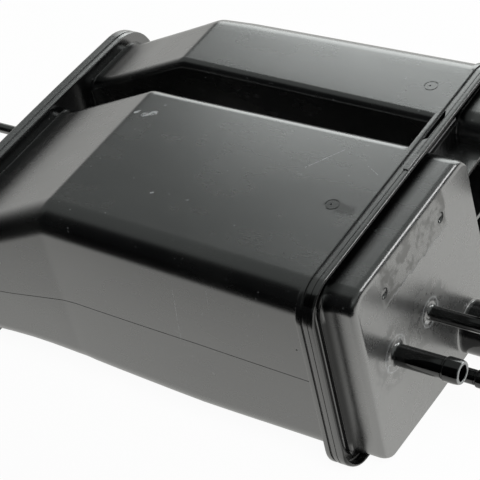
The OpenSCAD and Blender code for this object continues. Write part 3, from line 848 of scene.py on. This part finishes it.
def shadeRim(finish):  # painted shade: metallic shares darken the reflections on the rim, its groove and the dome's sides beside it, more than on the end face
    shade, (x, y, z) = rimShade, finish["place"]
    top = z.between(*shade["top"])
    behindRim = top * z.fading(*shade["rimTop"]) * x.fading(*shade["behindRim"])
    besideBead = y.between(*shade["beadBack"]) * x.between(*shade["beadPlate"])
    besideBead = besideBead * z.between(*shade["beadLow"]) * z.fading(*shade["beadHigh"])
    frontRoot = either(x.between(*shade["root"]), besideBead)
    frontRoot = frontRoot * x.fading(*shade["rootEnd"]) * y.fading(*shade["rootFront"])
    rimFace = facing(finish["signal"], 0).between(*shade["endward"]) * x.fading(*shade["faceEnd"])
    topSide, rim = top * x.fading(*shade["topEnd"]), x.fading(*shade["rimEnd"])
    finish["dull"] = either(
        finish["dull"], behindRim * shade["behindRimShadeShare"], topSide * shade["topShadeShare"],
        frontRoot * shade["rootShadeShare"], rimFace * shade["faceShadeShare"], rim * shade["rimBandShadeShare"],
    )


mouldings = (
    (canisterBody, "canister_body", (markBody, greyFlangeEdges), "ior"),
    (portCap, "port_cap", (markFace, shadeRim), "capIor"),
    (rearCap, "rear_cap", (greyFlangeEdges,), "ior"),
)
for piece, node, marking, ior in mouldings:
    finish = nylonBase(piece.name + "Nylon")
    for addMarks in marking:
        addMarks(finish)
    piece.data.materials.clear()
    piece.data.materials.append(nylonDone(finish, nylon[ior]))
    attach(piece, "root")
    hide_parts(node)
print("mouldings finished")

inside = {
    "carbon": {"nodes": ("main_carbon_bed", "vent_carbon_bed"),
               "dark": (0.006, 0.006, 0.006, 1), "light": (0.03, 0.03, 0.03, 1),
               "scale": 380.0, "rough": 0.85, "bump": 1.0},
    "foam": {"nodes": ("main_port_pad", "vent_port_pad", "main_rear_pad", "vent_rear_pad"),
             "dark": (0.16, 0.15, 0.13, 1), "light": (0.42, 0.40, 0.35, 1),
             "scale": 700.0, "rough": 0.95, "bump": 0.7},
    "plates": {"nodes": ("main_retainer", "vent_retainer", "main_rear_screen", "vent_rear_screen"),
               "dark": (0.62, 0.60, 0.54, 1), "light": (0.74, 0.72, 0.66, 1),
               "scale": 90.0, "rough": 0.42, "bump": 0.08},
    "wire": {"nodes": ("main_spring_upper", "main_spring_lower", "vent_spring_upper", "vent_spring_lower"),
             "dark": (0.36, 0.36, 0.35, 1), "light": (0.60, 0.60, 0.58, 1),
             "scale": 500.0, "rough": 0.30, "bump": 0.1, "metallic": 1.0},
}
insideGrain = {"detail": 3, "rough": 0.6, "spread": (0.35, 0.7), "roughSwing": 0.1, "depth": 0.0006}
for name, look in inside.items():
    material, shader, signal = newFinish(name + "Finish")
    fine = objectSpot(signal).noise(look["scale"], insideGrain["detail"], insideGrain["rough"])
    colour = fine.between(*insideGrain["spread"]).mixColour(look["dark"], look["light"])
    signal.feed(shader.inputs["Base Color"], colour)
    signal.feed(shader.inputs["Roughness"], look["rough"] + (fine - 0.5) * insideGrain["roughSwing"])
    shader.inputs["Metallic"].default_value = look.get("metallic", 0.0)
    relief = {"Strength": look["bump"], "Distance": insideGrain["depth"], "Height": fine}
    signal.feed(shader.inputs["Normal"], signal.node("ShaderNodeBump", None, relief))
    for node in look["nodes"]:
        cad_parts[node].material_slots[0].material = material
print("inner pieces finished")

# studio

paper = {
    "reach": 4000, "dark": (0.86, 0.86, 0.86, 1), "light": (0.90, 0.90, 0.90, 1), "fibre": (60, 3),
    "rough": 0.9, "seen": 0.95, "mirrored": 0.9, "mirrorTone": (1, 1, 0.965, 1),
    # how bright the floor is in reflections, from the front strip to the back, and where it changes
    "front": 0.76, "near": 0.95, "back": 1.0, "frontEdge": (-0.19, -0.1), "backEdge": (0.0, 0.4),
}
reach = paper["reach"]
floor = meshFrom("floor", [(-reach, -reach, 0), (reach, -reach, 0), (reach, reach, 0), (-reach, reach, 0)],
                 [(0, 1, 2, 3)])
floorMaterial, floorShader, signal = newFinish("paper")
rays = signal.node("ShaderNodeLightPath").socket.node.outputs
rayKinds = ("Is Camera Ray", "Is Glossy Ray", "Is Transmission Ray")
seen, mirror, through = [Signal(signal.tree, rays[key]) for key in rayKinds]
around = objectSpot(signal)
aroundY = around.axis(1)
level = aroundY.between(*paper["frontEdge"]) * (paper["near"] - paper["front"]) + paper["front"]
level = level + aroundY.between(*paper["backEdge"]) * (paper["back"] - paper["near"])
paperTone = mirror.mixColour((1, 1, 1, 1), paper["mirrorTone"])
tone = (1 - mirror * (1 - level)).mixColour((0, 0, 0, 1), paperTone)
glow = signal.node("ShaderNodeEmission", None, {"Color": tone, "Strength": 1.0})
floorShader.inputs["Roughness"].default_value = paper["rough"]
paperColour = around.noise(*paper["fibre"]).mixColour(paper["dark"], paper["light"])
signal.feed(floorShader.inputs["Base Color"], paperColour)
glowing = either(seen * paper["seen"], mirror * paper["mirrored"], through)
litPaper = Signal(signal.tree, floorShader.outputs[0])
floorSurface = signal.node("ShaderNodeMixShader", None, {0: glowing, 1: litPaper, 2: glow})
signal.tree.links.new(floorSurface.socket, signal.tree.nodes["Material Output"].inputs["Surface"])
floor.data.materials.append(floorMaterial)

flagLook = {
    "front": -0.205, "left": -0.8, "right": 0.3, "height": 0.12,
    "dark": (0.004, 0.004, 0.004, 1), "light": (0.01, 0.01, 0.01, 1), "nap": (300, 3),
}
flagEdge = ((flagLook["left"], 0), (flagLook["right"], 0),
            (flagLook["right"], flagLook["height"]), (flagLook["left"], flagLook["height"]))
flagMesh = bpy.data.meshes.new("flag")
flagMesh.from_pydata([(x, flagLook["front"], z) for x, z in flagEdge], [], [(0, 1, 2, 3)])
flag = bpy.data.objects.new("flag", flagMesh)  # dark strip in front of the part, kept out of every view
scene.collection.objects.link(flag)
flag.visible_camera = False
felt, feltShader, signal = newFinish("felt")
feltColour = objectSpot(signal).noise(*flagLook["nap"]).mixColour(flagLook["dark"], flagLook["light"])
signal.feed(feltShader.inputs["Base Color"], feltColour)
feltShader.inputs["Roughness"].default_value = 1.0
feltShader.inputs["Specular IOR Level"].default_value = 0.0
flagMesh.materials.append(felt)

skyLook = {
    "dark": (0.010, 0.0105, 0.011, 1), "ceiling": (0.24, 0.256, 0.248, 1), "horizon": (1.0, 1.0, 0.975, 1),
    "ceilingRise": (0.30, 0.46), "frontRise": (-0.42, -0.25), "fade": (0.10, 0.42),
    "backRise": (-0.2, 0.4), "rightRise": (0.1, 0.5),
}
world = bpy.data.worlds.new("studioWorld")
scene.world = world
world.use_nodes = True
background = world.node_tree.nodes["Background"].inputs
sky = Signal(world.node_tree)
way = sky.node("ShaderNodeTexCoord", out=0)
wayX, wayY, wayZ = [way.axis(k) for k in range(3)]
rightward = wayX.between(*skyLook["rightRise"])
overhead = either(wayY.between(*skyLook["frontRise"]), rightward) * wayZ.between(*skyLook["ceilingRise"])
lowBack = wayZ.fading(*skyLook["fade"]) * wayY.between(*skyLook["backRise"]) * (1 - rightward)
upper = overhead.mixColour(skyLook["dark"], skyLook["ceiling"])
sky.feed(background["Color"], lowBack.mixColour(upper, skyLook["horizon"]))
background["Strength"].default_value = 1.0

lamps = {
    "softbox": {"place": (-0.572, 3.614, 1.667), "target": (0.0, 0.0, 0.05), "size": (3.96, 2.17),
                "power": 82.0, "colour": (0.96, 1.0, 0.985)},
    "fill": {"place": (1.39, 1.30, 1.10), "target": (0.1, 0.0, 0.05), "size": (0.5, 0.5),
             "power": 4.0, "colour": (1, 1, 1)},
    "key": {"place": (1.2, -0.9, 1.9), "target": (0.0, 0.0, 0.05), "size": (1.3, 1.3),
            "power": 45.0, "colour": (1, 1, 1), "glossy": False},
}
for name, look in lamps.items():
    lamp = bpy.data.lights.new(name, "AREA")
    lamp.shape = "RECTANGLE"
    lamp.size, lamp.size_y = look["size"]
    lamp.energy = look["power"]
    lamp.color = look["colour"]
    lampObject = bpy.data.objects.new(name, lamp)
    lampObject.location = look["place"]
    aim = Vector(look["target"]) - Vector(look["place"])
    lampObject.rotation_euler = aim.to_track_quat("-Z", "Y").to_euler()
    lampObject.visible_glossy = look.get("glossy", True)
    scene.collection.objects.link(lampObject)

view = {  # place in mm, directions of the picture's right, down and depth
    "place": (351.163, -426.323, 595.465), "right": (0.83226, 0.52167, -0.18757),
    "down": (0.22421, -0.62618, -0.74673), "forward": (-0.50701, 0.57943, -0.63813),
    "focalPixels": 1901.93, "imagePixels": 480, "sensor": 36, "clip": 0.01,
}
lens = bpy.data.cameras.new("camera")
lens.sensor_width = view["sensor"]
lens.lens = view["sensor"] * view["focalPixels"] / view["imagePixels"]
lens.clip_start = view["clip"]
camera = bpy.data.objects.new("camera", lens)
columns = [Vector(view["right"]), -Vector(view["down"]), -Vector(view["forward"])]
camera.matrix_world = Matrix.Translation(toPart(*view["place"])) @ Matrix(columns).transposed().to_4x4()
scene.collection.objects.link(camera)
scene.camera = camera
scene.view_settings.view_transform = "Standard"
print("studio set")
